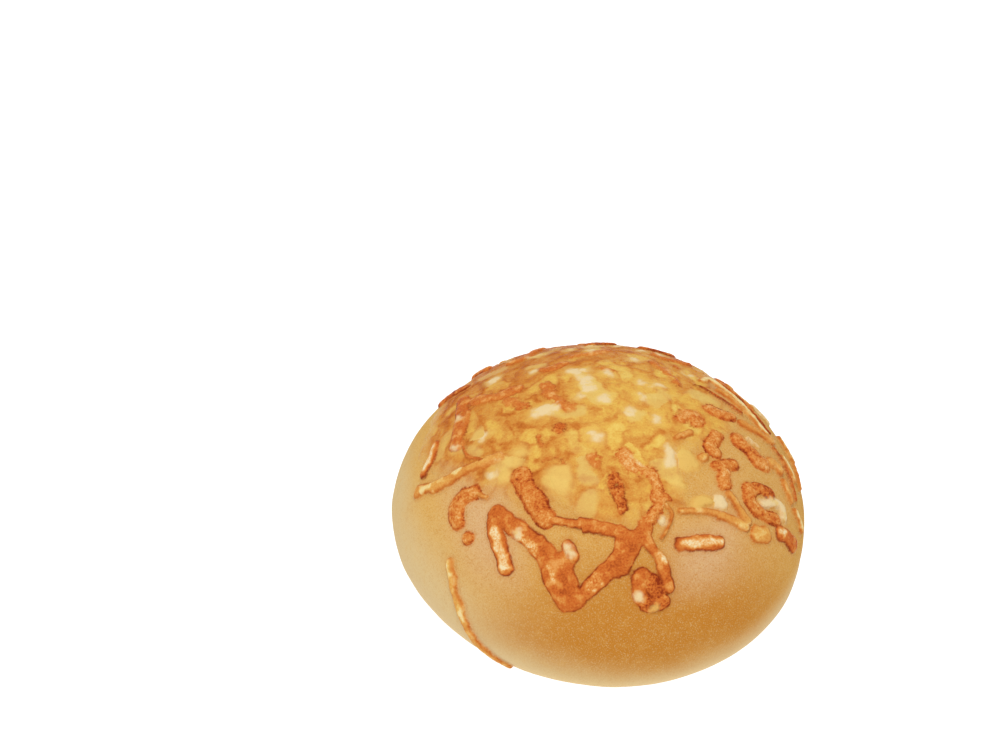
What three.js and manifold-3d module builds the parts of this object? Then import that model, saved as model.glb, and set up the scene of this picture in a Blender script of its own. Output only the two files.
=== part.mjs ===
// A cheese roll: a soft white bread roll, baked with grated cheese melted over its crown.
// The loaf and the shreds that have melted into its crust are one solid, as on the real roll.
// Millimetres, +Z up. The origin is the middle of the flat base, and -Y is the front.
import * as THREE from "three";
import { mergeVertices } from "three/addons/utils/BufferGeometryUtils.js";
import Module from "manifold-3d";

// The loaf
const WAIST_RADIUS = 55; // mean radius where the roll is widest
const WAIST_HEIGHT = 20; // height of that widest line above the base
const CROWN_RISE = 38; // from the waist to the top of the crown
const BELLY_DEPTH = 23; // from the waist to where the underside would close, had the tray not flattened it
const BELLY_FULLNESS = 2.3; // 2 is a plain ellipse, more is a fuller underside
const OVAL = 0.035; // share by which the roll is longer one way than its mean
const OVAL_BEARING = 45; // bearing of that longer way
const CROWN_LEAN = 5; // how far the crown sits to the right of the base's middle
const LOAF_RINGS = 22;
const LOAF_SEGMENTS = 52;

// The grated cheese
const RIDGE_HEIGHT = 1.3; // how far a melted shred stands above the crust
const STEP_LENGTH = 2.1; // length of one step of a shred's sweep
const LEAST_STEPS = 5; // steps in the shortest shred's sweep
const LENGTH_STEPS = 12; // steps in which a shred's length is measured
const SECTION_SIDES = 10;
const END_COVER = 0.4; // crust over a shred's buried ends

// Shreds sprinkled over the far side of the crown, by a seeded rule
const SPRINKLED = 120;
const NEAR_SIDE = 115; // bearing from the front, either way, within which the shreds are laid one by one
const FRONT_EDGE = 46; // the sprinkling's edge, in degrees down from the crown
const BACK_EDGE = 76;
const GOLDEN_ANGLE = 137.508;
const CLEARANCE = 4.7; // room that a sprinkled shred leaves round the others
const LENGTH_RANGE = [7, 19];
const WIDTH_RANGE = [3.2, 4.8];
const BOW_RANGE = [-2.2, 2.2];
const LEAST_NARROWING = 0.3; // least share of its waist that the loaf counts as round, near the crown
const ROOM_STEPS = 8; // steps of a path between the places where its room is tried
const SEED = 7;

// The shreds that show on the front, the shoulders and the crown, as they lie on the real roll.
// A path runs through places given as [bearing, drop] in degrees: bearing runs from the front to the right,
// drop down from the crown. The width is in millimetres.
const LAID = [
  // The broad V, with its filled tip, its top bar and the arms of its right corner
  { width: 5.8, path: [[-54, 47.5], [-45.5, 47.5], [-37.5, 47.5], [-29, 49], [-20, 55]] },
  { width: 9, path: [[-23, 50.5], [-16.5, 57], [-11.5, 66.5]] },
  { width: 4.8, path: [[-13, 65], [-7.5, 57], [-2.5, 51], [2, 46]] },
  { width: 6.6, path: [[-1.5, 51.5], [2, 47], [5.5, 40]] },
  { width: 5, path: [[-2, 43.5], [8, 40.5], [14, 35.5]] },
  { width: 2.8, path: [[-33, 41.5], [-24, 39.5], [-13, 38.6]] },
  { width: 4.4, path: [[-20, 39], [-11.5, 38.5], [-1, 39], [8, 41.5]] },
  { width: 3.6, path: [[6, 42], [13.5, 36], [18.5, 33], [27, 29.5]] },
  { width: 3.7, path: [[-20.5, 44.5], [-17, 47], [-13, 50.5]] },
  // The pale pods each side of the V
  { width: 5.4, path: [[-52, 48], [-42, 54.5], [-34, 61.5]] },
  { width: 4.7, path: [[20.5, 44.2], [30, 46.5], [41, 50.2]] },
  // The drop that hangs right of the V
  { width: 3.4, path: [[9.5, 39.5], [13, 45], [15.5, 49], [17, 61]] },
  { width: 4.6, path: [[11, 51.5], [8, 53.5], [7.5, 58.5], [9, 62]] },
  { width: 4.2, path: [[7.5, 60], [12, 63], [17, 60]] },
  { width: 5, path: [[9.5, 53], [12.5, 57], [14.5, 61]] },
  // The hook and its bead, and the runner below them
  { width: 5, path: [[-63.5, 45], [-65.8, 50.5], [-64, 55.5], [-56.5, 59.5]] },
  { width: 3.4, path: [[-55.5, 60], [-51, 58.5]] },
  { width: 3.2, path: [[-54.5, 69], [-48.5, 76], [-39.5, 89.5], [-36, 98], [-26, 112]] },
  // The left shoulder
  { width: 5.6, path: [[-61, 33.5], [-48, 36], [-37.5, 38.5], [-28, 42]] },
  { width: 4, path: [[-83.5, 68.5], [-78, 56.5], [-76, 48.5], [-74.5, 42], [-73, 33]] },
  { width: 3.2, path: [[-98, 55], [-91, 57], [-85.5, 63]] },
  { width: 5, path: [[-119.5, 50.5], [-109.5, 48], [-99, 46.5], [-85.5, 48.5]] },
  { width: 4.4, path: [[-126, 53], [-124, 60], [-121, 67]] },
  { width: 3.6, path: [[-124, 44.5], [-131, 42]] },
  { width: 4.4, path: [[-113.5, 46], [-114.5, 39], [-118, 33], [-124.5, 29.5]] },
  { width: 3.6, path: [[-108, 34], [-110, 30.5], [-105.5, 27], [-105, 23]] },
  // The right shoulder
  { width: 2.2, path: [[25.5, 35], [36.5, 38], [43, 42]] },
  { width: 3, path: [[41, 41], [46, 45], [50.5, 52]] },
  { width: 3.4, path: [[53, 38], [52, 43], [51, 51]] },
  { width: 4.8, path: [[60, 60], [63, 65.5], [66, 74]] },
  { width: 4.4, path: [[65, 43.5], [60, 44], [58, 47.5], [60, 53], [65, 61]] },
  { width: 4.2, path: [[64, 43.5], [67.5, 47.5], [69, 53.5]] },
  { width: 4, path: [[58, 30], [64, 33], [71, 36.5]] },
  { width: 4.2, path: [[64.5, 33], [57, 35], [53, 38]] },
  { width: 5, path: [[87.5, 33], [82.5, 38], [79, 43], [80, 48]] },
  { width: 3.8, path: [[80.5, 46], [83, 51], [81, 55]] },
  { width: 3.4, path: [[98, 37], [96.5, 43], [94, 53]] },
  { width: 4, path: [[105, 27.5], [100.5, 31], [101, 38]] },
  { width: 3.2, path: [[122, 38], [117.5, 40.5], [111, 42], [103.5, 48.5]] },
  { width: 3.4, path: [[125, 46], [117, 48], [112, 52]] },
  { width: 3.2, path: [[119, 57], [116, 61], [112, 64]] },
  { width: 3, path: [[105, 60], [99, 65], [98, 71]] },
  { width: 3, path: [[91, 54], [88, 60], [84, 63]] },
  { width: 3.2, path: [[80, 55.5], [77, 58], [74, 62.5]] },
  { width: 3, path: [[74, 63], [73, 69], [72, 74]] },
  // The crown
  { width: 4.2, path: [[-4, 21], [1.5, 34.5]] },
  { width: 3.6, path: [[-2, 13.5], [10, 19.5], [21, 22.5], [22.5, 27], [16.5, 32]] },
  { width: 4.2, path: [[-28, 20.5], [-14, 18]] },
  { width: 5, path: [[83, 16], [93.5, 19], [98.5, 22.5]] },
  { width: 5, path: [[96, 19], [89, 21.5], [81, 23.5]] },
  { width: 4.4, path: [[86, 28.5], [77, 27.5], [68.5, 25.5]] },
  { width: 3.8, path: [[74.5, 25], [68.5, 27.5], [69, 30.5]] },
  { width: 3, path: [[64, 27], [54, 25.5]] },
  { width: 3, path: [[50, 16.5], [36, 22.5]] },
  { width: 3.2, path: [[-82, 17], [-66, 17.7]] },
  { width: 3.8, path: [[-96, 24], [-99.5, 19.5], [-107, 15]] },
  { width: 3.4, path: [[-129, 26.5], [-120, 21], [-112, 17], [-96, 12.5]] },
  { width: 3.4, path: [[-149, 24], [-151, 18], [-141.5, 11]] },
  // The far side of the crown
  { width: 3.4, path: [[-138, 32], [-145, 29.5], [-154, 30]] },
  { width: 3.4, path: [[-158, 32.5], [-169, 32], [-179, 36]] },
  { width: 3.6, path: [[-139, 48], [-147, 45.5], [-157, 52]] },
  { width: 3, path: [[160, 32], [149, 28.5], [139.5, 26.5], [127, 23]] },
  { width: 3, path: [[161, 42], [152, 39.5], [143, 47]] },
  { width: 3.6, path: [[-170, 44], [-177.5, 49], [-185, 49]] },
  { width: 3.6, path: [[169, 51], [160, 50.5], [152, 51.5]] },
];

const radians = THREE.MathUtils.degToRad;
const degrees = THREE.MathUtils.radToDeg;

// A unit direction from the loaf's heart, given by its bearing and its drop from the crown in degrees.
function direction([bearing, drop]) {
  const out = Math.sin(radians(drop));
  return new THREE.Vector3(
    out * Math.sin(radians(bearing)),
    -out * Math.cos(radians(bearing)),
    Math.cos(radians(drop)),
  );
}

// The point of the crust in a direction: a dome above the waist, a fuller belly below it, a flat base.
function crustPoint(toward) {
  const bearing = Math.atan2(toward.x, -toward.y);
  const radius = WAIST_RADIUS * (1 + OVAL * Math.cos(2 * (bearing - radians(OVAL_BEARING))));
  const isDome = toward.z >= 0;
  const fullness = isDome ? 2 : BELLY_FULLNESS;
  const spread = Math.max(1 - Math.abs(toward.z) ** fullness, 0) ** (1 / fullness);
  const height = WAIST_HEIGHT + toward.z * (isDome ? CROWN_RISE : BELLY_DEPTH);
  return new THREE.Vector3(
    radius * spread * Math.sin(bearing) + CROWN_LEAN * Math.max(toward.z, 0),
    -radius * spread * Math.cos(bearing),
    Math.max(height, 0),
  );
}

// The way out of the crust there, as on the ellipsoid of that half.
function crustNormal(toward) {
  const rise = toward.z >= 0 ? CROWN_RISE : BELLY_DEPTH;
  return new THREE.Vector3(toward.x / WAIST_RADIUS, toward.y / WAIST_RADIUS, toward.z / rise).normalize();
}

// The directions along a shred, on a smooth curve through its places from end to end.
function shredDirections({ path }, count) {
  const curve = new THREE.CatmullRomCurve3(path.map(direction), false, "catmullrom", 0.5);
  return curve.getPoints(count).map((point) => point.normalize());
}

function shredLength(shred) {
  const points = shredDirections(shred, LENGTH_STEPS).map(crustPoint);
  return points.slice(1).reduce((sum, point, i) => sum + point.distanceTo(points[i]), 0);
}

// A number from 0 to 1, the same each time for the same shred and the same use.
function drawn(shred, use) {
  const wave = Math.sin(SEED + 127.1 * shred + 311.7 * use) * 43758.5453;
  return wave - Math.floor(wave);
}

function drawnFrom([low, high], shred, use) {
  return low + (high - low) * drawn(shred, use);
}

// True for a shred that lies wholly on the far side, past those laid one by one.
function isFar({ path }) {
  return path.every(([bearing]) => Math.cos(radians(bearing)) <= Math.cos(radians(NEAR_SIDE)));
}

// True where a shred's path keeps its room from those of all the shreds laid before it.
function isClear(shred, others) {
  const places = shredDirections(shred, ROOM_STEPS);
  return others.every((other) =>
    shredDirections(other, ROOM_STEPS).every((there) =>
      places.every((here) => here.angleTo(there) * WAIST_RADIUS > CLEARANCE),
    ),
  );
}

// Shreds spread evenly round a spiral from the crown to the cap's edge, each turned and bowed its own way.
function sprinkledShreds() {
  const shreds = [];
  for (let i = 0; i < SPRINKLED; i++) {
    const bearing = i * GOLDEN_ANGLE;
    const edge = THREE.MathUtils.lerp(FRONT_EDGE, BACK_EDGE, (1 - Math.cos(radians(bearing))) / 2);
    const drop = edge * Math.sqrt((i + 0.5) / SPRINKLED);
    const narrowing = Math.max(Math.sin(radians(drop)), LEAST_NARROWING);
    const heading = radians(360 * drawn(i, 1));
    const reach = degrees(drawnFrom(LENGTH_RANGE, i, 2) / 2 / WAIST_RADIUS);
    const turn = (reach * Math.sin(heading)) / narrowing;
    const fall = reach * Math.cos(heading);
    const bow = degrees(drawnFrom(BOW_RANGE, i, 3) / WAIST_RADIUS);
    const bowTurn = (bow * Math.cos(heading)) / narrowing;
    const bowFall = -bow * Math.sin(heading);
    const shred = {
      width: drawnFrom(WIDTH_RANGE, i, 4),
      path: [
        [bearing - turn, drop - fall],
        [bearing + bowTurn, drop + bowFall],
        [bearing + turn, drop + fall],
      ],
    };
    if (isFar(shred) && isClear(shred, [...LAID, ...shreds])) shreds.push(shred);
  }
  return shreds;
}

// A shred as a round strand sunk in the crust, so that a low ridge of its width shows and its ends run in.
function shredGeometry(shred) {
  const radius = (shred.width ** 2 / 4 + RIDGE_HEIGHT ** 2) / (2 * RIDGE_HEIGHT);
  const sunk = radius - RIDGE_HEIGHT;
  const steps = Math.max(LEAST_STEPS, Math.ceil(shredLength(shred) / STEP_LENGTH));
  const endSteps = Math.max(1, Math.round(shred.width / 2 / STEP_LENGTH));
  const centres = shredDirections(shred, steps).map((toward, i) => {
    const fromEnd = Math.min(i, steps - i) / endSteps;
    const runIn = 1 - Math.sin((Math.PI / 2) * Math.min(fromEnd, 1));
    const depth = sunk + (RIDGE_HEIGHT + END_COVER) * runIn;
    return crustPoint(toward).addScaledVector(crustNormal(toward), -depth);
  });
  const section = new THREE.Shape(
    Array.from({ length: SECTION_SIDES }, (_, i) => {
      const angle = (2 * Math.PI * i) / SECTION_SIDES;
      return new THREE.Vector2(radius * Math.cos(angle), radius * Math.sin(angle));
    }),
  );
  return new THREE.ExtrudeGeometry(section, { steps, extrudePath: new THREE.CatmullRomCurve3(centres) });
}

// The loaf turned from rings of directions, from the middle of the base out and up to the crown.
function loafGeometry() {
  const baseDrop = Math.acos(-WAIST_HEIGHT / BELLY_DEPTH);
  const profile = [new THREE.Vector2(0, -1)];
  for (let ring = 0; ring <= LOAF_RINGS; ring++) {
    const drop = baseDrop * (1 - ring / LOAF_RINGS);
    profile.push(new THREE.Vector2(Math.sin(drop), Math.cos(drop)));
  }
  const loaf = new THREE.LatheGeometry(profile, LOAF_SEGMENTS).rotateX(Math.PI / 2);
  const position = loaf.getAttribute("position");
  for (let i = 0; i < position.count; i++) {
    const point = crustPoint(new THREE.Vector3().fromBufferAttribute(position, i).normalize());
    position.setXYZ(i, point.x, point.y, point.z);
  }
  return loaf;
}

const wasm = await Module();
wasm.setup();

function solidOf(geometry) {
  geometry.deleteAttribute("normal");
  geometry.deleteAttribute("uv");
  const merged = mergeVertices(geometry);
  return new wasm.Manifold(
    new wasm.Mesh({
      numProp: 3,
      vertProperties: merged.getAttribute("position").array,
      triVerts: new Uint32Array(merged.index.array),
    }),
  );
}

function geometryOf(solid) {
  const mesh = solid.getMesh();
  return new THREE.BufferGeometry()
    .setAttribute("position", new THREE.BufferAttribute(mesh.vertProperties, 3))
    .setIndex(new THREE.BufferAttribute(mesh.triVerts, 1));
}

let fused = solidOf(loafGeometry());
for (const shred of [...LAID, ...sprinkledShreds()]) {
  fused = fused.add(solidOf(shredGeometry(shred)));
}

const roll = new THREE.Mesh(
  geometryOf(fused),
  new THREE.MeshStandardMaterial({ color: 0xd9a24e, roughness: 0.6, metalness: 0 }),
);
roll.name = "cheese_roll";
roll.geometry.computeVertexNormals();

const group = new THREE.Group();
group.add(roll);

export default group;
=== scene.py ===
"""The looks of a cheese roll: a soft white bread roll with grated cheese melted over its crown."""
import math
from collections import namedtuple
from types import SimpleNamespace

import bpy
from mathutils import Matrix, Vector


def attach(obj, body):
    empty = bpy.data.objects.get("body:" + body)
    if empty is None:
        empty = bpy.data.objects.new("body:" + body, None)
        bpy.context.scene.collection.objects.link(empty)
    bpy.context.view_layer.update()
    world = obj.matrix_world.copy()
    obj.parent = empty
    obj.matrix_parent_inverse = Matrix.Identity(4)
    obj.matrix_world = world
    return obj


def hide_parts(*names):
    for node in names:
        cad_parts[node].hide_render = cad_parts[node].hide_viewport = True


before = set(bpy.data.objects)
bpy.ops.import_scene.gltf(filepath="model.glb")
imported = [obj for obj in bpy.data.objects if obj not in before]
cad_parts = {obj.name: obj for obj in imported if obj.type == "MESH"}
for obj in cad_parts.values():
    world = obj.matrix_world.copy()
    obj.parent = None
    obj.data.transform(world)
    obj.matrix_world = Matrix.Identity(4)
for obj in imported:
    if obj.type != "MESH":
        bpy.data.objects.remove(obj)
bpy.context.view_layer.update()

MM = 0.001


# The loaf: a ball of enriched white dough, proved and baked on a flat tray.
# Its skin is a soft golden crust, browner in a band under the crown and pale near the tray.
# The band is deepest in front, partly painted shade; the paleness low down, to the left and by the tray is
# partly painted light bounced off the floor; pale pinkish patches on the upper sides are a painted sheen.
# It has no seam: the dough was rounded by hand, so it is a little oval and its crown leans.
WAIST_RADIUS = 55 * MM
WAIST_HEIGHT = 20 * MM
CRUST_SIZES = {
    "Waist radius": WAIST_RADIUS,
    "Waist height": WAIST_HEIGHT,
    "Crown rise": 38 * MM,
    "Belly depth": 23 * MM,
    "Belly fullness": 2.3,
    "Oval": 0.035,
    "Oval bearing": math.radians(45),
    "Crown lean": 5 * MM,
    "Swell height": 0.7 * MM,
    "Dimple height": 0.1 * MM,
}
SWELL_SIZE = 17 * MM
DIMPLE_SIZE = 3.2 * MM
SMOOTH_FOOT = 8 * MM
LOAF_SUBDIVISIONS = 7


class Value:
    """What leaves a node. A sum of values adds the Math node that its sign stands for."""

    def __init__(self, recipe, socket):
        self.recipe = recipe
        self.socket = socket

    def __add__(self, other):
        return self.recipe.math("ADD", self, other)

    def __sub__(self, other):
        return self.recipe.math("SUBTRACT", self, other)

    def __rsub__(self, other):
        return self.recipe.math("SUBTRACT", other, self)

    def __mul__(self, other):
        return self.recipe.math("MULTIPLY", self, other)

    def __truediv__(self, other):
        return self.recipe.math("DIVIDE", self, other)

    def __pow__(self, other):
        return self.recipe.math("POWER", self, other)

    def also(self, output):
        """Another output of the same node."""
        return Value(self.recipe, self.socket.node.outputs[output])


class Recipe:
    """A node tree, for a mesh or a material, written one node at a time."""

    def __init__(self, tree):
        self.tree = tree
        self.asked = None

    def feed(self, socket, value):
        if isinstance(value, Value):
            self.tree.links.new(value.socket, socket)
        else:
            socket.default_value = value

    def add(self, kind, inputs=None, output=0, **settings):
        node = self.tree.nodes.new(kind)
        for name, setting in settings.items():
            setattr(node, name, setting)
        for name, value in (inputs or {}).items():
            self.feed(node.inputs[name], value)
        return Value(self, node.outputs[output])

    def ask(self, name, default=None, kind="NodeSocketFloat"):
        """A named input of the whole tree."""
        socket = self.tree.interface.new_socket(name, in_out="INPUT", socket_type=kind)
        if default is not None:
            socket.default_value = default
        if self.asked is None:
            self.asked = self.tree.nodes.new("NodeGroupInput")
        return Value(self, self.asked.outputs[name])

    def serve(self, outputs):
        """The named outputs of the whole tree, each with its kind of socket and its value."""
        for name, (kind, _) in outputs.items():
            self.tree.interface.new_socket(name, in_out="OUTPUT", socket_type=kind)
        served = self.tree.nodes.new("NodeGroupOutput")
        for name, (_, value) in outputs.items():
            self.feed(served.inputs[name], value)

    def math(self, operation, *values):
        return self.add("ShaderNodeMath", dict(enumerate(values)), operation=operation)

    def vector(self, operation, *values, output="Vector"):
        return self.add("ShaderNodeVectorMath", dict(enumerate(values)), output, operation=operation)

    def scaled(self, vector, factor):
        return self.add("ShaderNodeVectorMath", {0: vector, "Scale": factor}, operation="SCALE")

    def parts(self, vector):
        x = self.add("ShaderNodeSeparateXYZ", {0: vector})
        return x, x.also(1), x.also(2)

    def joined(self, x, y, z):
        return self.add("ShaderNodeCombineXYZ", {0: x, 1: y, 2: z})

    def eased(self, value, low, high, start=0.0, end=1.0):
        """From start to end, smoothly, as the value goes from low to high."""
        inputs = {"Value": value, "From Min": low, "From Max": high, "To Min": start, "To Max": end}
        return self.add("ShaderNodeMapRange", inputs, interpolation_type="SMOOTHSTEP")

    def noise(self, position, size, detail=2.0, roughness=0.5, output=0):
        inputs = {"Vector": position, "Scale": 1 / size, "Detail": detail, "Roughness": roughness}
        return self.add("ShaderNodeTexNoise", inputs, output)

    def mixed(self, share, first, second):
        """First, or second where share is 1, as numbers."""
        return self.add("ShaderNodeMix", {0: share, 2: first, 3: second}, data_type="FLOAT")

    def tinted(self, share, first, second):
        """First, or second where share is 1, as colours."""
        return self.add("ShaderNodeMix", {0: share, 6: first, 7: second}, 2, data_type="RGBA")

    def weighed(self, start, weights, values):
        """A start level, moved by each named value times its weight."""
        level = start
        for name, weight in weights.items():
            level = values[name] * weight + level
        return level

    def ramp(self, level, stops):
        """The colour that a level has in a row of (level, colour) stops."""
        tone = self.add("ShaderNodeValToRGB", {"Fac": level})
        row = tone.socket.node.color_ramp.elements
        row.remove(row[1])
        row[0].position, row[0].color = stops[0]
        for position, stop_colour in stops[1:]:
            row.new(position).color = stop_colour
        return tone


def crust_shape():
    """Turns a direction from the loaf's heart into the point of the crust there, and the way out of it."""
    tree = bpy.data.node_groups.new("crust_shape", "GeometryNodeTree")
    recipe = Recipe(tree)
    toward = recipe.ask("Direction", kind="NodeSocketVector")
    (waist_radius, waist_height, crown_rise, belly_depth, belly_fullness, oval, oval_bearing,
     crown_lean, swell_height, dimple_height) = (recipe.ask(*size) for size in CRUST_SIZES.items())

    x, y, z = recipe.parts(toward)
    bearing = recipe.math("ARCTAN2", x, y * -1)
    above = recipe.math("MAXIMUM", z, 0)
    below = recipe.math("MAXIMUM", z * -1, 0)
    is_belly = recipe.math("GREATER_THAN", below, 0)
    radius = waist_radius * (oval * recipe.math("COSINE", (bearing - oval_bearing) * 2) + 1)
    dome_spread = recipe.math("SQRT", x * x + y * y)
    belly_spread = (1 - below**belly_fullness) ** recipe.math("DIVIDE", 1, belly_fullness)
    reach = radius * recipe.mixed(is_belly, dome_spread, belly_spread)
    height = waist_height + crown_rise * above - belly_depth * below
    smooth = recipe.joined(
        reach * recipe.math("SINE", bearing) + crown_lean * above,
        reach * recipe.math("COSINE", bearing) * -1,
        height,
    )
    rise = recipe.mixed(is_belly, crown_rise, belly_depth)
    outward = recipe.vector("NORMALIZE", recipe.joined(x / waist_radius, y / waist_radius, z / rise))
    swell = (recipe.noise(smooth, SWELL_SIZE, 1.0) - 0.5) * swell_height
    dimple = (recipe.noise(smooth, DIMPLE_SIZE, 2.0) - 0.5) * dimple_height
    off_tray = recipe.eased(height, 0, SMOOTH_FOOT)
    uneven = recipe.vector("ADD", smooth, recipe.scaled(outward, (swell + dimple) * off_tray))
    final_x, final_y, final_z = recipe.parts(uneven)
    standing = recipe.joined(final_x, final_y, recipe.math("MAXIMUM", final_z, 0))
    recipe.serve({
        "Position": ("NodeSocketVector", standing),
        "Normal": ("NodeSocketVector", outward),
    })
    return tree


CRUST_SHAPE = crust_shape()


def on_crust(recipe, toward):
    """The crust's point and outward normal in a direction."""
    point = recipe.add("GeometryNodeGroup", node_tree=CRUST_SHAPE)
    recipe.feed(point.socket.node.inputs["Direction"], toward)
    return Value(recipe, point.socket.node.outputs["Position"]), point.also("Normal")


def baked(name, tree, sizes, start=None):
    """A piece that a Geometry Nodes tree makes, kept as a plain mesh."""
    piece = bpy.data.objects.new(name, start or bpy.data.meshes.new(name))
    bpy.context.scene.collection.objects.link(piece)
    modifier = piece.modifiers.new(name, "NODES")
    modifier.node_group = tree
    for item in tree.interface.items_tree:
        if item.in_out == "INPUT" and item.name in sizes:
            modifier[item.identifier] = sizes[item.name]
    depsgraph = bpy.context.evaluated_depsgraph_get()
    finished = piece.evaluated_get(depsgraph)
    plain = bpy.data.meshes.new_from_object(finished, preserve_all_data_layers=True, depsgraph=depsgraph)
    piece.modifiers.clear()
    piece.data = plain
    plain.name = name
    return piece


def colour(red, green, blue):
    """A colour as the eye reads it, 0 to 255 each, in the linear numbers that shaders take."""
    linear = [c / 12.92 if c <= 0.04045 else ((c + 0.055) / 1.055) ** 2.4
              for c in (red / 255, green / 255, blue / 255)]
    return (*linear, 1.0)


PALE_CRUST = colour(220, 192, 139)
GOLDEN_CRUST = colour(214, 164, 88)
BROWN_CRUST = colour(194, 127, 47)
# Pale pinkish patches on the upper sides, by the cheese's edge, are a painted sheen.
SHEEN_PAINTED_CRUST = colour(217, 177, 133)
YELLOW_CRUST = colour(222, 172, 76)
# Paler near the tray: partly the crust's own, partly painted light bounced off the floor.
TRAY_AND_BOUNCE_CRUST = colour(222, 198, 156)
# The bearing where the brown band is deepest, partly painted shade on that side.
BROWN_AND_SHADE_BEARING = math.radians(8)

# Where the crust changes colour: from and to which height, or how far aside.
# A third and a fourth number are the shares of the colour at the two ends, where these aren't 0 and 1.
GOLDEN_FROM = (15 * MM, 36 * MM)
BROWN_FROM = (12 * MM, 29 * MM)
BROWN_UP_TO = (66 * MM, 44 * MM)
# How far the brown band wraps from the front, partly painted shade.
BROWN_AND_SHADE_FACING = (0.56, 0.93)
# Where the painted sheen lies: its heights, how far aside and how it fades to the right.
SHEEN_FROM = (33 * MM, 42 * MM)
SHEEN_UP_TO = (54 * MM, 44 * MM)
ASIDE_MIDDLE = -1.5 * MM
SHEEN_ASIDE = (13 * MM, 26 * MM)
SHEEN_RIGHT = (28 * MM, 40 * MM, 0.75, 0.1)
YELLOW_FROM = (28 * MM, 40 * MM)
YELLOW_LEFT = (-30 * MM, -48 * MM, 0, 0.7)
# Paleness by the tray, to the sides and to the left, partly painted floor bounce light.
TRAY_AND_BOUNCE_UP_TO = (18 * MM, 2 * MM, 0, 0.85)
RIPER_AND_LESS_LIT_RIGHT = 0.2
PALER_ASIDE = 0.2
DRIFT_SIZE = 24 * MM
DRIFT_HEIGHT = 12 * MM

# The crust's mottling and fine grain, each a noise's size, detail and roughness, and how they tint it.
MOTTLE = (2.2 * MM, 3.0, 0.6)
GRAIN = (0.36 * MM, 2.0, 0.65)
LIGHT_MOTTLE = (0.45, 0.8, 0, 0.3)
DARK_MOTTLE = (0.55, 0.2, 0, 0.3)
FLECKS = (0.5, 0.72, 0, 0.46)
PORES = (0.5, 0.3, 0, 0.6)
MARKS_ON_PALE = 0.45


def crust_colour(recipe, place):
    """The crust's colour and grain: pale by the tray and to the left, partly painted floor bounce light;
    brownest in front, partly painted shade; a painted sheen on the upper sides.
    """
    x, y, z = recipe.parts(place)
    level = z + (recipe.noise(place, DRIFT_SIZE) - 0.5) * DRIFT_HEIGHT
    facing = (x * math.sin(BROWN_AND_SHADE_BEARING) - y * math.cos(BROWN_AND_SHADE_BEARING)) / WAIST_RADIUS
    aside = recipe.math("ABSOLUTE", x - ASIDE_MIDDLE)
    # Paler low down and to the left: partly less baked, partly painted light bounced off the floor.
    ripe_and_less_lit = recipe.eased(level + x * RIPER_AND_LESS_LIT_RIGHT, *GOLDEN_FROM)
    tone = recipe.tinted(ripe_and_less_lit, PALE_CRUST, GOLDEN_CRUST)
    # Browner in a band under the crown, most in front: partly baked browner, partly painted shade on the
    # front side.
    heat = recipe.eased(level, *BROWN_FROM) * recipe.eased(level, *BROWN_UP_TO)
    tone = recipe.tinted(heat * recipe.eased(facing, *BROWN_AND_SHADE_FACING), tone, BROWN_CRUST)
    # Painted sheen: pale pinkish patches on the upper sides, weaker to the right.
    painted_sheen = recipe.eased(level, *SHEEN_FROM) * recipe.eased(level, *SHEEN_UP_TO)
    painted_sheen = painted_sheen * recipe.eased(aside, *SHEEN_ASIDE) * recipe.eased(x, *SHEEN_RIGHT)
    tone = recipe.tinted(painted_sheen, tone, SHEEN_PAINTED_CRUST)
    left = recipe.eased(x, *YELLOW_LEFT) * recipe.eased(level, *YELLOW_FROM)
    tone = recipe.tinted(left, tone, YELLOW_CRUST)

    mottle = recipe.noise(place, *MOTTLE)
    grain = recipe.noise(place, *GRAIN)
    marked = recipe.mixed(ripe_and_less_lit, MARKS_ON_PALE, 1.0)
    tone = recipe.tinted(recipe.eased(mottle, *LIGHT_MOTTLE), tone, GOLDEN_CRUST)
    tone = recipe.tinted(recipe.eased(mottle, *DARK_MOTTLE) * marked, tone, BROWN_CRUST)
    tone = recipe.tinted(recipe.eased(grain, *FLECKS), tone, PALE_CRUST)
    tone = recipe.tinted(recipe.eased(grain, *PORES) * marked, tone, BROWN_CRUST)
    # Paler still near the tray and to the sides: partly its own, partly painted floor bounce light.
    near_tray_and_bounce = recipe.eased(z - aside * PALER_ASIDE, *TRAY_AND_BOUNCE_UP_TO)
    return recipe.tinted(near_tray_and_bounce, tone, TRAY_AND_BOUNCE_CRUST), grain


WARM_SHEEN = colour(255, 226, 176)
BUMP_STRENGTH = 0.6


def finished_material(name, make):
    """A material whose colour, roughness and bump height are made by a function of its recipe and place."""
    material = bpy.data.materials.new(name)
    material.use_nodes = True
    material.node_tree.nodes.clear()
    recipe = Recipe(material.node_tree)
    place = recipe.add("ShaderNodeTexCoord", output="Object")
    look = make(recipe, place)
    relief = {"Height": look["relief"], "Distance": look["depth"], "Strength": BUMP_STRENGTH}
    bump = recipe.add("ShaderNodeBump", relief)
    shader = recipe.add("ShaderNodeBsdfPrincipled", {
        "Base Color": look["colour"],
        "Roughness": look["roughness"],
        "Normal": bump,
        "Specular IOR Level": look["shine"],
        "Specular Tint": WARM_SHEEN,
    })
    recipe.feed(material.node_tree.nodes.new("ShaderNodeOutputMaterial").inputs["Surface"], shader)
    return material


CRUST_ROUGHNESS = (0.3, 0.7, 0.5, 0.62)
CRUST_RELIEF = 0.2 * MM
CRUST_SHINE = 0.0


def crust_look(recipe, place):
    tone, grain = crust_colour(recipe, place)
    return {
        "colour": tone,
        "roughness": recipe.eased(grain, *CRUST_ROUGHNESS),
        "relief": grain,
        "depth": CRUST_RELIEF,
        "shine": CRUST_SHINE,
    }


crust_material = finished_material("crust", crust_look)


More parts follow.
